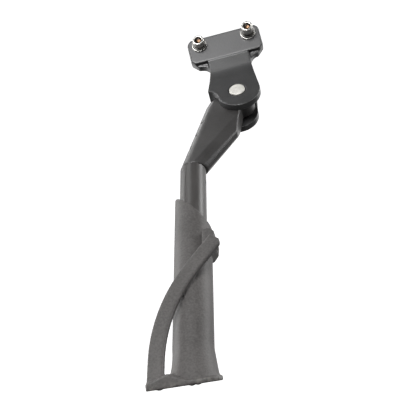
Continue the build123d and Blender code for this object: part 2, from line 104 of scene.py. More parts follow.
class Value:
    """A node socket that plain arithmetic can be written on."""

    def __init__(self, finish, socket):
        self.finish = finish
        self.socket = socket

    def math(self, operation, *values):
        """One Math node on this value and the others."""
        inputs = dict(enumerate((self, *values)))
        return self.finish.node("ShaderNodeMath", {"operation": operation}, inputs).value(0)

    def __add__(self, other):
        return self.math("ADD", other)

    __radd__ = __add__

    def __sub__(self, other):
        return self.math("SUBTRACT", other)

    def __rsub__(self, other):
        return self.finish.node("ShaderNodeMath", {"operation": "SUBTRACT"}, {0: other, 1: self}).value(0)

    def __mul__(self, other):
        return self.math("MULTIPLY", other)

    __rmul__ = __mul__

    def __abs__(self):
        return self.math("ABSOLUTE")

    def most(self, other):
        """The larger of two values."""
        return self.math("MAXIMUM", other)

    def root(self):
        """Square root."""
        return self.math("SQRT")

    def sine(self):
        """Sine."""
        return self.math("SINE")

    def ramp(self, low, high):
        """0 below low, 1 above high and smooth between; low may be above high."""
        settings = {"interpolation_type": "SMOOTHSTEP"}
        flipped = low > high
        ends = (high, low) if flipped else (low, high)
        out = (1.0, 0.0) if flipped else (0.0, 1.0)
        inputs = {"Value": self, "From Min": ends[0], "From Max": ends[1], "To Min": out[0], "To Max": out[1]}
        return self.finish.node("ShaderNodeMapRange", settings, inputs).value("Result")


class Node:
    """A node whose outputs are read as values."""

    def __init__(self, finish, node):
        self.finish = finish
        self.node = node

    def value(self, key):
        return Value(self.finish, self.node.outputs[key])


class Finish:
    """One material, built node by node."""

    def __init__(self, name, **constants):
        self.material = bpy.data.materials.new(name)
        self.material.use_nodes = True
        self.tree = self.material.node_tree
        self.shader = next(n for n in self.tree.nodes if n.type == "BSDF_PRINCIPLED")
        for socket, value in constants.items():
            self.set(socket.replace("_", " "), value)
        self.place = self.node("ShaderNodeTexCoord", {}, {}).value("Object")

    def node(self, kind, settings, inputs):
        """Any node: its settings are made first, then its sockets are filled or linked."""
        made = self.tree.nodes.new(kind)
        for key, value in settings.items():
            setattr(made, key, value)
        for key, value in inputs.items():
            self.fill(made.inputs[key], value)
        return Node(self, made)

    def fill(self, socket, value):
        """Links a value to a socket, or sets the socket to a constant."""
        if isinstance(value, Value):
            self.tree.links.new(value.socket, socket)
        elif hasattr(socket.default_value, "__len__") and len(socket.default_value) == 4 and len(value) == 3:
            socket.default_value = (*value, 1.0)
        else:
            socket.default_value = value

    def set(self, socket, value):
        """Fills one socket of the shader."""
        self.fill(self.shader.inputs[socket], value)

    def noise(self, size, detail=3.0, roughness=0.55, place=None):
        """Even noise whose features are about the given size in metres."""
        inputs = {
            "Vector": place or self.place, "Scale": 1.0 / size, "Detail": detail, "Roughness": roughness,
        }
        return self.node("ShaderNodeTexNoise", {}, inputs).value(0)

    def cells(self, size):
        """Distance to the middles of scattered cells of the given size in metres."""
        inputs = {"Vector": self.place, "Scale": 1.0 / size}
        return self.node("ShaderNodeTexVoronoi", {}, inputs).value("Distance")

    def mix(self, factor, a, b):
        """Mix of two colours."""
        made = self.node("ShaderNodeMix", {"data_type": "RGBA"}, {0: factor, 6: a, 7: b})
        return made.value(2)

    def along(self, direction, origin=(0, 0, 0)):
        """Distance in metres along a direction from an origin."""
        moved = self.node("ShaderNodeVectorMath", {"operation": "SUBTRACT"},
                          {0: self.place, 1: tuple(origin)})
        dot = self.node("ShaderNodeVectorMath", {"operation": "DOT_PRODUCT"},
                        {0: moved.value("Vector"), 1: tuple(direction)})
        return dot.value("Value")

    def stretched(self, x, y, z):
        """Coordinates from three values."""
        return self.node("ShaderNodeCombineXYZ", {}, {"X": x, "Y": y, "Z": z}).value("Vector")

    def edges(self, low, high):
        """1 on outward edges, 0 elsewhere."""
        point = self.node("ShaderNodeNewGeometry", {}, {}).value("Pointiness")
        return point.ramp(low, high)

    def facing(self, direction):
        """How much the surface faces a direction, from -1 to 1."""
        normal = self.node("ShaderNodeNewGeometry", {}, {}).value("Normal")
        return self.node("ShaderNodeVectorMath", {"operation": "DOT_PRODUCT"},
                         {0: normal, 1: tuple(direction)}).value("Value")

    def relief(self, height, depth, strength=1.0):
        """Bump of the given depth in metres."""
        made = self.node("ShaderNodeBump", {}, {"Strength": strength, "Distance": depth, "Height": height})
        self.set("Normal", made.value("Normal"))


# Sizes of what the finishes show, in metres
CAST_MOTTLE, CAST_SPECK, CAST_PEEL, CAST_EDGE_PATCH, PEEL_DEPTH = 0.018, 0.0007, 0.0016, 0.004, 0.00008
TUBE_MOTTLE, TUBE_SPECK, DRAW_DEPTH = 0.012, 0.0008, 0.00005
MOULD_GRAIN, MOULD_PIT, MOULD_FLOW, MOULD_DUST, MOULD_DEPTH = 0.0013, 0.0016, 0.03, 0.003, 0.0001
SCUFF_HEIGHT = 0.005
# Where the filed face of the pad begins, outboard of the plate and above the neck
PAD_DEPTH_BAND = (0.0094, 0.0101)
PAD_FOOT_BAND = (-0.0162, -0.0145)
# how much lighter the pad's face is painted: partly filed and scuffed coat, partly painted light where the front
# light falls on it
PAD_LIGHTER = 3.3
# Marks to the metre
FILE_MARKS_ACROSS, FILE_MARKS_ALONG = 1600, 420
DRAW_ACROSS, DRAW_ALONG = 2600.0, 60.0
SCRATCH_ACROSS, SCRATCH_ALONG = 5200, 700
DUST_COLOUR = (0.2, 0.19, 0.17)
SOCKET_TINT_RADIUS = 2.45 * MM


def coating(name, colour, wear_and_highlight, gloss, pad=False):
    """Satin powder coat on a casting: mottle, orange peel and lightened edges, partly worn coat and partly painted
    highlight; the pad's face is painted lighter, partly filed scuffs and partly painted light.
    """
    f = Finish(name, Metallic=0.0, IOR=1.5)
    mottle = f.noise(CAST_MOTTLE, 4.0)
    speck = f.noise(CAST_SPECK, 2.0)
    peel = f.noise(CAST_PEEL, 3.0)
    # edge mask for worn coat on the outward edges, also used as a painted highlight along them
    edge = f.edges(0.515, 0.56) * f.noise(CAST_EDGE_PATCH, 4.0).ramp(0.35, 0.6)
    shade = (mottle - 0.5) * 0.5 + (speck - 0.5) * 0.5 + 0.5
    dark = tuple(c * 0.72 for c in colour)
    light = tuple(c * 1.3 for c in colour)
    paint = f.mix(shade.ramp(0.2, 0.8), dark, light)
    if pad:
        # the pad's face is painted lighter: partly scuffs from the washers and from the file that flattened it,
        # partly painted light where the front light falls on it
        face = f.along((0, -1, 0)).ramp(*PAD_DEPTH_BAND) * f.facing((0, -1, 0)).ramp(0.9, 0.98)
        face = face * f.along((0, 0, 1)).ramp(*PAD_FOOT_BAND)
        grain = f.noise(1.0, 3.0, place=f.stretched(
            f.along((FILE_MARKS_ACROSS, 0, 0)), f.along((0, 0, FILE_MARKS_ALONG)), 0.0))
        rubbed_and_painted_light = tuple(c * PAD_LIGHTER for c in colour)
        paint = f.mix(face * (grain * 0.5 + 0.5), paint, rubbed_and_painted_light)
        speck = speck * (1.0 - face * 0.5) + grain * face * 0.5
    # lightened edge colour: partly exposed metal, partly a painted highlight
    bare_metal_and_highlight = tuple(min(1.0, c * 3.2 + 0.12) for c in colour)
    f.set("Base Color", f.mix(edge * wear_and_highlight, paint, bare_metal_and_highlight))
    f.set("Roughness", (mottle - 0.5) * 0.16 + (speck - 0.5) * 0.12 + gloss - edge * 0.08)
    f.relief(peel * 0.6 + speck * 0.4, PEEL_DEPTH, 0.55)
    return f.material


def drawn_coating(name, colour, gloss):
    """Coat over drawn tube, with faint lines along it."""
    f = Finish(name, Metallic=0.0, IOR=1.5)
    lines = f.noise(1.0, 3.0, place=f.stretched(
        f.along(LEG_REAR) * DRAW_ACROSS, f.along(OUTBOARD) * DRAW_ACROSS, f.along(DOWN_LEG) * DRAW_ALONG))
    mottle = f.noise(TUBE_MOTTLE, 4.0)
    speck = f.noise(TUBE_SPECK, 2.0)
    dark = tuple(c * 0.78 for c in colour)
    light = tuple(c * 1.22 for c in colour)
    f.set("Base Color", f.mix(((lines - 0.5) * 0.6 + (mottle - 0.5) * 0.5 + 0.5).ramp(0.2, 0.8), dark, light))
    f.set("Roughness", (lines - 0.5) * 0.12 + (mottle - 0.5) * 0.14 + gloss)
    f.relief(lines * 0.5 + speck * 0.5, DRAW_DEPTH, 0.5)
    return f.material


def moulded(name, colour, gloss, sole=None):
    """Moulded plastic with a fine spark-eroded skin; the sole is scuffed."""
    f = Finish(name, Metallic=0.0, IOR=1.46)
    grain = f.noise(MOULD_GRAIN, 3.0)
    pits = f.cells(MOULD_PIT)
    flow = f.noise(MOULD_FLOW, 3.0)
    dust = f.noise(MOULD_DUST, 5.0)
    edge = f.edges(0.51, 0.55)
    tone = (flow - 0.5) * 0.5 + (grain - 0.5) * 0.9 + 0.5
    dark = tuple(c * 0.7 for c in colour)
    light = tuple(c * 1.3 for c in colour)
    paint = f.mix(tone.ramp(0.2, 0.8), dark, light)
    paint = f.mix(edge * dust.ramp(0.4, 0.65) * 0.45, paint, tuple(c * 1.7 for c in colour))
    if sole:
        point, normal = sole
        height = abs(f.along(normal, point))
        scuff = height.ramp(SCUFF_HEIGHT, 0.0) * dust.ramp(0.42, 0.62)
        paint = f.mix(scuff * 0.5, paint, DUST_COLOUR)
    f.set("Base Color", paint)
    f.set("Roughness", (grain - 0.5) * 0.2 + (dust - 0.5) * 0.12 + gloss)
    f.relief(grain * 0.6 + pits * 0.4, MOULD_DEPTH, 0.6)
    return f.material


def plated(name, colour, gloss, metal=1.0, socket=None):
    """Zinc plate: faint iridescent blotches, fine scratches, and painted shade darkening the recesses."""
    f = Finish(name, Metallic=metal)
    blotch = f.noise(0.002, 3.0)
    scratch = f.noise(1.0, 2.0, place=f.stretched(
        f.along((SCRATCH_ACROSS, 0, 0)), f.along((0, SCRATCH_ALONG, 0)), f.along((0, 0, SCRATCH_ACROSS))))
    # painted shade: the recesses are darkened
    painted_hollow_shade = f.edges(0.495, 0.45)
    dark = tuple(c * 0.8 for c in colour)
    paint = f.mix(blotch.ramp(0.35, 0.65), dark, colour)
    paint = f.mix(painted_hollow_shade * 0.6, paint, tuple(c * 0.25 for c in colour))
    if socket:
        spacing, radius, tint = socket
        across = abs(f.along((1, 0, 0))) - spacing
        drop = f.along((0, 0, 1))
        wide = (across * across + drop * drop).root()
        inside = wide.ramp(radius + 0.0002, radius - 0.0001)
        paint = f.mix(inside, paint, tint)
    f.set("Base Color", paint)
    f.set("Roughness", (blotch - 0.5) * 0.12 + (scratch - 0.5) * 0.14 + gloss)
    f.relief(scratch, 0.00002, 0.5)
    return f.material


def turned(name, colour, gloss, centre, axis, pitch, metal=1.0):
    """Turned metal with rings about an axis."""
    f = Finish(name, Metallic=metal)
    offset = f.node("ShaderNodeVectorMath", {"operation": "SUBTRACT"},
                    {0: f.place, 1: tuple(centre)}).value("Vector")
    height = f.along(axis, centre)
    length = f.node("ShaderNodeVectorMath", {"operation": "LENGTH"}, {0: offset}).value("Value")
    wide = (length * length - height * height).most(0.0).root()
    rings = (wide * (tau / pitch)).sine()
    blotch = f.noise(0.0025, 4.0)
    dark = tuple(c * 0.82 for c in colour)
    f.set("Base Color", f.mix(blotch.ramp(0.3, 0.7), dark, colour))
    f.set("Roughness", (blotch - 0.5) * 0.2 + rings * 0.03 + gloss)
    f.relief(rings * 0.3 + blotch * 0.7, 0.00003, 0.5)
    return f.material


def sintered(name, colour):
    """Porous bronze."""
    f = Finish(name, Metallic=0.9)
    pores = f.cells(0.0005)
    blotch = f.noise(0.003, 3.0)
    dark = tuple(c * 0.35 for c in colour)
    f.set("Base Color", f.mix(pores.ramp(0.05, 0.35) * (blotch * 0.5 + 0.5), dark, colour))
    f.set("Roughness", pores * 0.2 + 0.35)
    f.relief(pores, 0.00006, 0.6)
    return f.material


# ---------------------------------------------------------------- mesh tools

def new_piece(name, mesh, material, body, slot, *nodes):
    """Links a mesh as a piece that rides on a body and stands for frame pieces."""
    piece = bpy.data.objects.new(name, mesh)
    bpy.context.scene.collection.objects.link(piece)
    mesh.materials.clear()
    mesh.materials.append(material)
    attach(piece, body)
    if nodes:
        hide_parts(*nodes)
    return piece


def softened(node, voxel, passes):
    """A frame piece's mesh with its edges and inside corners softened as a casting's are."""
    source = frame["nodes"][node]
    mesh = source.data.copy()
    work = bmesh.new()
    work.from_mesh(mesh)
    bmesh.ops.remove_doubles(work, verts=work.verts, dist=0.002 * MM)
    work.to_mesh(mesh)
    work.free()
    holder = bpy.data.objects.new(node + "_work", mesh)
    bpy.context.scene.collection.objects.link(holder)
    remesh = holder.modifiers.new("remesh", "REMESH")
    remesh.mode = "VOXEL"
    remesh.voxel_size = voxel
    smooth = holder.modifiers.new("smooth", "SMOOTH")
    smooth.factor = 0.5
    smooth.iterations = passes
    depsgraph = bpy.context.evaluated_depsgraph_get()
    depsgraph.update()
    result = bpy.data.meshes.new_from_object(holder.evaluated_get(depsgraph))
    bpy.data.objects.remove(holder)
    for polygon in result.polygons:
        polygon.use_smooth = True
    result.name = node
    return result


def frame_axes(origin, axis, first=(1, 0, 0)):
    """Matrix whose z runs along an axis and whose x is near the given direction."""
    z = Vector(axis).normalized()
    y = z.cross(Vector(first)).normalized()
    x = y.cross(z)
    return Matrix.Translation(origin) @ Matrix((x, y, z)).transposed().to_4x4()


def lathe(name, rings, matrix, steps, closed=True):
    """Surface through rings of points, capped if it isn't closed.

    Each ring is a function of the angle that gives (radius, height).
    """
    work = bmesh.new()
    loops = []
    for ring in rings:
        loop = []
        for step in range(steps):
            angle = tau * step / steps
            radius, height = ring(angle)
            loop.append(work.verts.new(matrix @ Vector((radius * cos(angle), radius * sin(angle), height))))
        loops.append(loop)
    pairs = list(zip(loops, loops[1:]))
    if closed:
        pairs.append((loops[-1], loops[0]))
    for a, b in pairs:
        for step in range(steps):
            following = (step + 1) % steps
            work.faces.new((a[step], a[following], b[following], b[step]))
    if not closed:
        work.faces.new(list(reversed(loops[0])))
        work.faces.new(loops[-1])
    bmesh.ops.recalc_face_normals(work, faces=work.faces)
    mesh = bpy.data.meshes.new(name)
    work.to_mesh(mesh)
    work.free()
    for polygon in mesh.polygons:
        polygon.use_smooth = True
    return mesh


def plain_ring(radius, height):
    """A round ring at one height."""
    return lambda angle: (radius, height)


def washer_mesh(name, origin, axis, inner, outer, thickness, edge):
    """Flat washer with rolled edges; height starts at the origin."""
    profile = [
        (inner + edge, 0), (outer - edge, 0), (outer - edge * 0.3, edge * 0.3), (outer, edge),
        (outer, thickness - edge), (outer - edge * 0.3, thickness - edge * 0.3), (outer - edge, thickness),
        (inner + edge, thickness), (inner + edge * 0.3, thickness - edge * 0.3), (inner, thickness - edge),
        (inner, edge), (inner + edge * 0.3, edge * 0.3),
    ]
    rings = [plain_ring(r, h) for r, h in doubled(profile)]
    return lathe(name, rings, frame_axes(origin, axis), 96)


CORNER_STEP = 0.00004


def doubled(profile):
    """Profile with two close points at each corner, so that smooth shading keeps flats flat."""
    out = []
    count = len(profile)
    for index, point in enumerate(profile):
        before = profile[index - 1]
        after = profile[(index + 1) % count]
        for other in (before, after):
            gap = sqrt((other[0] - point[0]) ** 2 + (other[1] - point[1]) ** 2)
            share = min(0.2, CORNER_STEP / gap) if gap else 0
            out.append(tuple(a + (b - a) * share for a, b in zip(point, other)))
    return out


# ---------------------------------------------------------------- settings

class KickstandFinish(bpy.types.PropertyGroup):
    """Colours and gloss of the stand."""

    casting: bpy.props.FloatVectorProperty(
        name="Casting coat", description="Satin coat of the bracket", subtype="COLOR", size=3,
        default=(0.034, 0.034, 0.0345), min=0, max=1)
    arm: bpy.props.FloatVectorProperty(
        name="Arm coat", description="Satin coat of the cast arm", subtype="COLOR", size=3,
        default=(0.036, 0.0345, 0.034), min=0, max=1)
    tube: bpy.props.FloatVectorProperty(
        name="Tube coat", description="Coat of the leg tube", subtype="COLOR", size=3,
        default=(0.046, 0.0435, 0.042), min=0, max=1)
    foot: bpy.props.FloatVectorProperty(
        name="Foot plastic", description="Moulded foot", subtype="COLOR", size=3,
        default=(0.068, 0.064, 0.062), min=0, max=1)
    zinc: bpy.props.FloatVectorProperty(
        name="Zinc plate", description="Screws and washers", subtype="COLOR", size=3,
        default=(0.80, 0.785, 0.75), min=0, max=1)
    socket: bpy.props.FloatVectorProperty(
        name="Socket tint", description="Inside of the hexagon sockets", subtype="COLOR", size=3,
        default=(0.075, 0.046, 0.028), min=0, max=1)
    # lightened edges of the castings: partly worn coat, partly a painted highlight
    wear_and_highlight: bpy.props.FloatProperty(
        name="Edge wear", description="How far the coat is rubbed at the edges", default=0.55, min=0, max=1,
        subtype="FACTOR")


class KickstandShape(bpy.types.PropertyGroup):
    """Sizes of the details."""

    casting_voxel: bpy.props.FloatProperty(
        name="Casting detail", description="Mesh size on the bracket", default=0.42 * MM, min=0.2 * MM,
        max=2 * MM, unit="LENGTH")
    arm_voxel: bpy.props.FloatProperty(
        name="Arm detail", description="Mesh size on the cast arm", default=0.5 * MM, min=0.2 * MM,
        max=2 * MM, unit="LENGTH")
    foot_voxel: bpy.props.FloatProperty(
        name="Foot detail", description="Mesh size on the moulded foot", default=0.6 * MM, min=0.3 * MM,
        max=2 * MM, unit="LENGTH")
    softness: bpy.props.IntProperty(
        name="Edge softness", description="Smoothing passes over the castings", default=5, min=0, max=30)
    thread_pitch: bpy.props.FloatProperty(
        name="Thread pitch", description="Pitch of the mounting screws", default=1.0 * MM, min=0.3 * MM,
        max=3 * MM, unit="LENGTH")
    knurl_ridges: bpy.props.IntProperty(
        name="Knurl ridges", description="Ridges round a screw head", default=32, min=8, max=80)


class KickstandStudio(bpy.types.PropertyGroup):
    """Floor, light and camera."""

    floor_height: bpy.props.FloatProperty(
        name="Floor height", description="Height of the floor", default=-0.345, unit="LENGTH")
    camera_place: bpy.props.FloatVectorProperty(
        name="Camera place", description="Where the camera stands", subtype="TRANSLATION", size=3,
        unit="LENGTH", default=(-0.015813, -0.536231, -0.306652))
    azimuth: bpy.props.FloatProperty(
        name="Azimuth", description="Turn of the camera about Z", subtype="ANGLE", default=radians(2.961))
    elevation: bpy.props.FloatProperty(
        name="Elevation", description="Tilt of the camera above the horizon", subtype="ANGLE",
        default=radians(-18.03))
    roll: bpy.props.FloatProperty(
        name="Roll", description="Turn of the camera about its view", subtype="ANGLE",
        default=radians(-13.147))
    lens: bpy.props.FloatProperty(
        name="Lens", description="Focal length on a 36 mm sensor", default=63.88, min=10, max=300,
        unit="CAMERA")
    key_power: bpy.props.FloatProperty(
        name="Key light", description="Power of the main light", default=14.0, min=0, unit="POWER")


# ---------------------------------------------------------------- operators

class KICKSTAND_OT_bracket(bpy.types.Operator):
    """Cast bracket with softened edges and a satin coat."""

    bl_idname = "kickstand.bracket"
    bl_label = "Bracket"

    def execute(self, context):
        scene = context.scene
        finish = scene.kickstand_finish
        shape = scene.kickstand_shape
        material = coating("satin_coat_bracket", tuple(finish.casting), finish.wear_and_highlight, 0.34, pad=True)
        mesh = softened("mount_bracket", shape.casting_voxel, shape.softness)
        new_piece("bracket_casting", mesh, material, "bracket", "bracket_paint", "mount_bracket")
        return {"FINISHED"}


class KICKSTAND_OT_arm(bpy.types.Operator):
    """Cast arm with softened edges."""

    bl_idname = "kickstand.arm"
    bl_label = "Arm"

    def execute(self, context):
        scene = context.scene
        finish = scene.kickstand_finish
        shape = scene.kickstand_shape
        material = coating("satin_coat_arm", tuple(finish.arm), finish.wear_and_highlight, 0.38)
        mesh = softened("leg_arm", shape.arm_voxel, shape.softness)
        new_piece("arm_casting", mesh, material, "leg", "arm_paint", "leg_arm")
        return {"FINISHED"}


class KICKSTAND_OT_tube(bpy.types.Operator):
    """Leg tube, its pin and its plug."""

    bl_idname = "kickstand.tube"
    bl_label = "Tube"

    def execute(self, context):
        finish = context.scene.kickstand_finish
        recoat("leg_tube", drawn_coating("drawn_tube_coat", tuple(finish.tube), 0.40))
        recoat("tube_pin", plated("oiled_pin", (0.34, 0.34, 0.35), 0.38))
        recoat("tube_plug", moulded("plug_plastic_black", (0.03, 0.03, 0.03), 0.5))
        return {"FINISHED"}


class KICKSTAND_OT_foot(bpy.types.Operator):
    """Moulded foot with its bow and sole."""

    bl_idname = "kickstand.foot"
    bl_label = "Foot"

    def execute(self, context):
        scene = context.scene
        finish = scene.kickstand_finish
        shape = scene.kickstand_shape
        sole = next(m for m in RECORD["mounts"] if m["name"] == "foot_sole")
        material = moulded("moulded_foot", tuple(finish.foot), 0.56, (sole["pos_m"], sole["axis"]))
        mesh = softened("foot", shape.foot_voxel, shape.softness + 2)
        new_piece("moulded_foot", mesh, material, "foot", "foot_plastic", "foot")
        return {"FINISHED"}


class KICKSTAND_OT_pivot(bpy.types.Operator):
    """Pivot rivet, washers, bushes, cam, plunger and spring."""

    bl_idname = "kickstand.pivot"
    bl_label = "Pivot"

    HEAD_RADIUS, PIN_RADIUS, TAIL_RADIUS = 6.1 * MM, 4.0 * MM, 5.75 * MM
    HEAD_HEIGHT, TAIL_HEIGHT = 2.0 * MM, 2.2 * MM
    # in millimetres: (radius, height) in the middle, (inset, height) at the rims
    HEAD_FACE = ((0.0, 0.0), (2.4, 0.01), (2.7, 0.02), (3.4, 0.02))
    HEAD_ROLL = ((0.9, 0.04), (0.35, 0.18), (0.1, 0.42), (0.0, 0.8))
    TAIL_ROLL = ((0.0, 0.9), (0.4, 0.35), (1.0, 0.06), (2.2, 0.0))
    TAIL_DIMPLE = ((1.6, 0.1), (1.2, 0.5), (0.0, 0.6))

    def execute(self, context):
        finish = context.scene.kickstand_finish
        zinc = tuple(finish.zinc)
        self.rivet(turned("turned_rivet", (0.70, 0.685, 0.64), 0.5, PIVOT, OUTBOARD, 0.25 * MM, 0.35))
        recoat("rivet_washer", plated("plated_rivet_washer", zinc, 0.30))
        ground = turned("ground_steel", (0.42, 0.42, 0.43), 0.3, PIVOT, OUTBOARD, 0.2 * MM)
        recoat("detent_cam", ground)
        recoat("detent_plunger", ground)
        recoat("detent_spring", plated("oiled_spring", (0.28, 0.28, 0.29), 0.35))
        bronze = sintered("sintered_bronze", (0.62, 0.42, 0.2))
        recoat("outer_pivot_bush", bronze)
        recoat("inner_pivot_bush", bronze)
        nylon = moulded("natural_nylon", (0.62, 0.6, 0.54), 0.45)
        recoat("outer_thrust_washer", nylon)
        recoat("inner_thrust_washer", nylon)
        return {"FINISHED"}

    def rivet(self, material):
        """Rivet with a rolled, slightly crowned head and a formed tail."""
        low, high = reach("pivot_rivet", OUTBOARD, PIVOT)
        head, pin, tail = self.HEAD_RADIUS, self.PIN_RADIUS, self.TAIL_RADIUS
        under_head, over_tail = high - self.HEAD_HEIGHT, low + self.TAIL_HEIGHT
        profile = [(r * MM, high - drop * MM) for r, drop in self.HEAD_FACE]
        profile += [(head - back * MM, high - drop * MM) for back, drop in self.HEAD_ROLL]
        profile += [(head, under_head), (pin, under_head), (pin, over_tail), (tail, over_tail)]
        profile += [(tail - back * MM, low + rise * MM) for back, rise in self.TAIL_ROLL]
        profile += [(r * MM, low + rise * MM) for r, rise in self.TAIL_DIMPLE]
        rings = [plain_ring(max(r, 0.01 * MM), h) for r, h in profile]
        mesh = lathe("pivot_rivet_turned", rings, frame_axes(PIVOT, OUTBOARD), 72, closed=False)
        new_piece("pivot_rivet_turned", mesh, material, "bracket", "rivet_steel", "pivot_rivet")


class KICKSTAND_OT_fasteners(bpy.types.Operator):
    """Two socket-head screws with spring and flat washers."""

    bl_idname = "kickstand.fasteners"
    bl_label = "Fasteners"

    HEAD_HEIGHT, THREAD_RADIUS, THREAD_DEPTH, SHANK_RADIUS = 6.0 * MM, 3.0 * MM, 0.34 * MM, 2.7 * MM
    KNURL_DEPTH, HEX_APOTHEM, HEX_DEPTH = 0.11 * MM, 2.5 * MM, 3.2 * MM
    # inset and drop of the head's rolled rim, in millimetres
    HEAD_ROLL = ((0.05, 0.75), (0.3, 0.35), (0.7, 0.06), (0.9, 0.0))
    WASHER_BORE_RADIUS, FLAT_ROLL, SPRING_BEVEL = 3.15 * MM, 0.22 * MM, 0.2 * MM

    def execute(self, context):
        scene = context.scene
        finish = scene.kickstand_finish
        shape = scene.kickstand_shape
        zinc = tuple(finish.zinc)
        spacing = abs(node_middle("front_mount_bolt").x)
        socket = (spacing, SOCKET_TINT_RADIUS, tuple(finish.socket))
        screw = plated("plated_screw", tuple(c * 0.72 for c in zinc), 0.30, socket=socket)
        flat = plated("plated_flat_washer", tuple(c * 0.8 for c in zinc), 0.36)
        # the spring washer is painted dark as painted shade between the screw head and the flat washer
        spring = plated("spring_washer_painted_shade", tuple(c * 0.22 for c in zinc), 0.34)
        for end in ("front", "rear"):
            self.screw(end, screw, shape)
            self.washers(end, flat, spring)
        return {"FINISHED"}

    def screw(self, end, material, shape):
        """Knurled head, hexagon socket and a helical thread."""
        node = end + "_mount_bolt"
        middle = node_middle(node)
        origin = Vector((middle.x, 0.0, middle.z))
        low, high = reach(node, Vector((0, -1, 0)), origin)
        head = node_size(node).x / 2
        seat = high - self.HEAD_HEIGHT
        thread, depth, shank = self.THREAD_RADIUS, self.THREAD_DEPTH, self.SHANK_RADIUS
        pitch = shape.thread_pitch
        ridges = shape.knurl_ridges
        hexagon, floor = self.HEX_APOTHEM, high - self.HEX_DEPTH

        def threaded(height, fade):
            def ring(angle):
                wave = abs(((height / pitch - angle / tau) % 1.0) * 2.0 - 1.0)
                return thread - depth * fade * (1.0 - wave), height
            return ring

        def knurled(radius, height, amount):
            cut = self.KNURL_DEPTH * amount
            return lambda angle: (radius - cut * (0.5 - 0.5 * cos(angle * ridges)), height)

        def hexed(height, amount, radius=hexagon):
            def ring(angle):
                apothem = radius / cos((angle % (tau / 6)) - tau / 12)
                return apothem * amount + (radius * 1.16) * (1.0 - amount), height
            return ring

        rings = [plain_ring(0.02 * MM, low), plain_ring(thread - 0.75 * MM, low),
                 plain_ring(thread - 0.45 * MM, low + 0.3 * MM)]
        turns = ceil((0.0 - low) / pitch * 10)
        for index in range(turns + 1):
            height = low + 0.4 * MM + (0.0 - low - 0.5 * MM) * index / turns
            rings.append(threaded(height, min(1.0, (index + 1) / 5)))
        rings += [plain_ring(shank, 0.05 * MM), plain_ring(shank, seat), plain_ring(head - 0.5 * MM, seat),
                  plain_ring(head - 0.15 * MM, seat + 0.12 * MM)]
        rings += [knurled(head, seat + 0.4 * MM, 0.2), knurled(head, seat + 0.6 * MM, 1.0),
                  knurled(head, high - 1.15 * MM, 1.0), knurled(head, high - 0.95 * MM, 0.1)]
        rings += [plain_ring(head - back * MM, high - drop * MM) for back, drop in self.HEAD_ROLL]
        rings += [plain_ring(hexagon * 1.2, high), plain_ring(hexagon * 1.17, high - 0.05 * MM),
                  hexed(high - 0.35 * MM, 1.0), hexed(high - 0.4 * MM, 1.0), hexed(floor, 1.0),
                  plain_ring(hexagon * 0.9, floor - 0.05 * MM), plain_ring(0.02 * MM, floor - 0.9 * MM)]
        mesh = lathe(end + "_screw", rings, frame_axes(origin, (0, -1, 0)), 192, closed=False)
        new_piece(end + "_screw", mesh, material, "bracket", "screw_steel", node)

    def washers(self, end, flat, spring):
        """Rolled flat washer and a split spring washer."""
        out = Vector((0, -1, 0))
        bore = self.WASHER_BORE_RADIUS
        for kind, material in (("flat", flat), ("spring", spring)):
            node = end + "_" + kind + "_washer"
            middle = node_middle(node)
            origin = Vector((middle.x, 0.0, middle.z))
            low, high = reach(node, out, origin)
            outer = node_size(node).x / 2
            name = end + "_" + kind + "_washer_rolled"
            base = origin + out * low
            if kind == "flat":
                mesh = washer_mesh(name, base, out, bore, outer, high - low, self.FLAT_ROLL)
            else:
                mesh = self.split_washer(name, base, out, bore, outer, high - low)
            new_piece(name, mesh, material, "bracket", "washer_steel", node)

    def split_washer(self, name, origin, axis, inner, outer, thickness):
        """Spring washer of trapezoid wire, cut across and slightly sprung."""
        matrix = frame_axes(origin, axis)
        bevel = self.SPRING_BEVEL
        wire = thickness * 0.88
        section = [
            (inner, bevel), (inner + bevel, 0), (outer - bevel, 0), (outer, bevel),
            (outer, wire - bevel), (outer - bevel, wire), (inner + bevel, wire), (inner, wire - bevel),
        ]
        work = bmesh.new()
        loops = []
        steps = 90
        gap = radians(7.0)
        for step in range(steps + 1):
            share = step / steps
            angle = pi / 2 + gap / 2 + (tau - gap) * share
            rise = (thickness - wire) * share
            loops.append([work.verts.new(matrix @ Vector((r * cos(angle), r * sin(angle), h + rise)))
                          for r, h in section])
        count = len(section)
        for a, b in zip(loops, loops[1:]):
            for index in range(count):
                following = (index + 1) % count
                work.faces.new((a[index], a[following], b[following], b[index]))
        work.faces.new(loops[0])
        work.faces.new(list(reversed(loops[-1])))
        bmesh.ops.recalc_face_normals(work, faces=work.faces)
        mesh = bpy.data.meshes.new(name)
        work.to_mesh(mesh)
        work.free()
        return mesh


class KICKSTAND_OT_lock(bpy.types.Operator):
    """Set screw and nut that hold the foot's length."""

    bl_idname = "kickstand.lock"
    bl_label = "Length lock"

    def execute(self, context):
        zinc = tuple(context.scene.kickstand_finish.zinc)
        recoat("lock_screw", plated("black_oxide_screw", (0.12, 0.12, 0.13), 0.36, metal=0.8))
        recoat("lock_nut", plated("plated_nut", zinc, 0.3))
        return {"FINISHED"}


def recoat(node, material):
    """Gives a frame piece a finished material."""
    mesh = frame["nodes"][node].data
    for index in range(max(1, len(mesh.materials))):
        if index < len(mesh.materials):
            mesh.materials[index] = material
        else:
            mesh.materials.append(material)


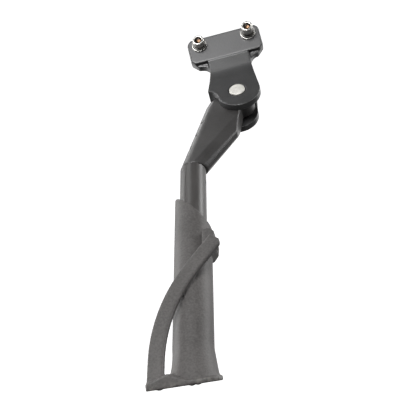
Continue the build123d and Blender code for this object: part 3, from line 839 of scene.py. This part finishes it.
class KICKSTAND_OT_studio(bpy.types.Operator):
    """Pale sweep, soft lights and the camera."""

    bl_idname = "kickstand.studio"
    bl_label = "Studio"

    # half width, front, back, bend radius and rise of the sweep
    SWEEP = (4.0, -4.0, 3.0, 1.2, 4.0)
    BEND_STEPS = 16
    WALL_BAND = (0.9, 2.2)
    FLOOR_COLOUR = (0.09, 0.09, 0.09)
    WALL_COLOUR = (0.90, 0.90, 0.90)
    FILL_STRENGTH = 0.1
    # name, place, width and height, share of the key light's power
    SOFTBOXES = (
        ("front", (-0.2, -1.05, 0.2), (0.5, 0.4), 0.95),
        ("top", (-0.3, -0.35, 0.85), (0.4, 0.3), 0.11),
        ("crest", (-0.4, 0.35, 0.72), (0.3, 0.3), 0.09),
        ("left", (-0.9, 0.12, 0.2), (0.3, 0.9), 0.55),
        ("right", (0.9, 0.1, 0.15), (0.3, 0.9), 0.62),
        ("low", (0.05, -0.9, -0.38), (0.12, 0.06), 0.12),
    )

    def execute(self, context):
        scene = context.scene
        studio = scene.kickstand_studio
        self.sweep(studio.floor_height)
        self.world(scene)
        self.lights(studio)
        self.camera(scene, studio)
        scene.view_settings.view_transform = "Standard"
        return {"FINISHED"}

    def sweep(self, floor):
        """Dark floor that curves up into a lit white wall behind the stand."""
        f = Finish("pale_sweep", Roughness=0.9, Emission_Strength=0.95)
        wall = f.along((0, 1, 0)).ramp(*self.WALL_BAND)
        f.set("Emission Color", f.mix(wall, (0.0, 0.0, 0.0), (1.0, 1.0, 1.0)))
        paper = wall * (f.noise(0.4, 2.0) * 0.1 + 0.9)
        f.set("Base Color", f.mix(paper, self.FLOOR_COLOUR, self.WALL_COLOUR))
        width, front, back, bend, rise = self.SWEEP
        profile = [(front, floor), (back - bend, floor)]
        for step in range(1, self.BEND_STEPS + 1):
            angle = pi / 2 * step / self.BEND_STEPS
            profile.append((back - bend + bend * sin(angle), floor + bend * (1 - cos(angle))))
        profile.append((back, floor + rise))
        work = bmesh.new()
        sides = [[work.verts.new((x, y, z)) for y, z in profile] for x in (-width, width)]
        for index in range(len(profile) - 1):
            work.faces.new((sides[0][index], sides[1][index], sides[1][index + 1], sides[0][index + 1]))
        bmesh.ops.recalc_face_normals(work, faces=work.faces)
        mesh = bpy.data.meshes.new("studio_sweep")
        work.to_mesh(mesh)
        work.free()
        for polygon in mesh.polygons:
            polygon.use_smooth = True
        mesh.materials.append(f.material)
        piece = bpy.data.objects.new("studio_sweep", mesh)
        bpy.context.scene.collection.objects.link(piece)

    def world(self, scene):
        """Faint, even fill from all round."""
        world = bpy.data.worlds.new("studio_white")
        world.use_nodes = True
        background = next(n for n in world.node_tree.nodes if n.type == "BACKGROUND")
        background.inputs["Color"].default_value = (1.0, 1.0, 1.0, 1.0)
        background.inputs["Strength"].default_value = self.FILL_STRENGTH
        scene.world = world

    def lights(self, studio):
        """Soft boxes aimed at the middle of the stand."""
        low, high = CAD_BOX
        target = (Vector(low) + Vector(high)) / 2
        for name, place, (wide, tall), share in self.SOFTBOXES:
            lamp = bpy.data.lights.new(name + "_softbox", "AREA")
            lamp.shape = "RECTANGLE"
            lamp.size = wide
            lamp.size_y = tall
            lamp.energy = studio.key_power * share
            holder = bpy.data.objects.new(name + "_softbox", lamp)
            holder.location = place
            holder.rotation_euler = (target - Vector(place)).to_track_quat("-Z", "Y").to_euler()
            bpy.context.scene.collection.objects.link(holder)

    def camera(self, scene, studio):
        """Camera with no depth of field."""
        az, el, roll = studio.azimuth, studio.elevation, studio.roll
        back = Vector((sin(az) * cos(el), -cos(az) * cos(el), sin(el)))
        right = (-back).cross(Vector((0, 0, 1))).normalized()
        up = right.cross(-back)
        across = right * cos(roll) + up * sin(roll)
        upward = -right * sin(roll) + up * cos(roll)
        data = bpy.data.cameras.new("studio_camera")
        data.lens = studio.lens
        data.sensor_width = 36.0
        data.clip_start = 0.01
        data.clip_end = 50.0
        holder = bpy.data.objects.new("studio_camera", data)
        holder.matrix_world = Matrix.Translation(studio.camera_place) @ Matrix(
            (across, upward, back)).transposed().to_4x4()
        bpy.context.scene.collection.objects.link(holder)
        scene.camera = holder


OPERATORS = (
    KICKSTAND_OT_bracket, KICKSTAND_OT_arm, KICKSTAND_OT_tube, KICKSTAND_OT_foot, KICKSTAND_OT_pivot,
    KICKSTAND_OT_fasteners, KICKSTAND_OT_lock, KICKSTAND_OT_studio,
)


class VIEW3D_PT_kickstand(bpy.types.Panel):
    """Lists the pieces and their settings."""

    bl_label = "Kickstand"
    bl_idname = "VIEW3D_PT_kickstand"
    bl_space_type = "VIEW_3D"
    bl_region_type = "UI"
    bl_category = "Kickstand"

    def draw(self, context):
        layout = self.layout
        for operator in OPERATORS:
            layout.operator(operator.bl_idname)
        for group in ("kickstand_finish", "kickstand_shape", "kickstand_studio"):
            settings = getattr(context.scene, group)
            box = layout.box()
            for name in settings.bl_rna.properties.keys():
                if name not in ("rna_type", "name"):
                    box.prop(settings, name)


GROUPS = (("kickstand_finish", KickstandFinish), ("kickstand_shape", KickstandShape),
          ("kickstand_studio", KickstandStudio))
CLASSES = tuple(group for _, group in GROUPS) + OPERATORS + (VIEW3D_PT_kickstand,)


def register():
    for cls in CLASSES:
        bpy.utils.register_class(cls)
    for name, group in GROUPS:
        setattr(bpy.types.Scene, name, bpy.props.PointerProperty(type=group))


def unregister():
    for name, _ in GROUPS:
        delattr(bpy.types.Scene, name)
    for cls in reversed(CLASSES):
        bpy.utils.unregister_class(cls)


def main():
    register()
    # one call to each piece in order, then the stage
    bpy.ops.kickstand.bracket()
    bpy.ops.kickstand.arm()
    bpy.ops.kickstand.tube()
    bpy.ops.kickstand.foot()
    bpy.ops.kickstand.pivot()
    bpy.ops.kickstand.fasteners()
    bpy.ops.kickstand.lock()
    bpy.ops.kickstand.studio()


if __name__ == "__main__":
    main()
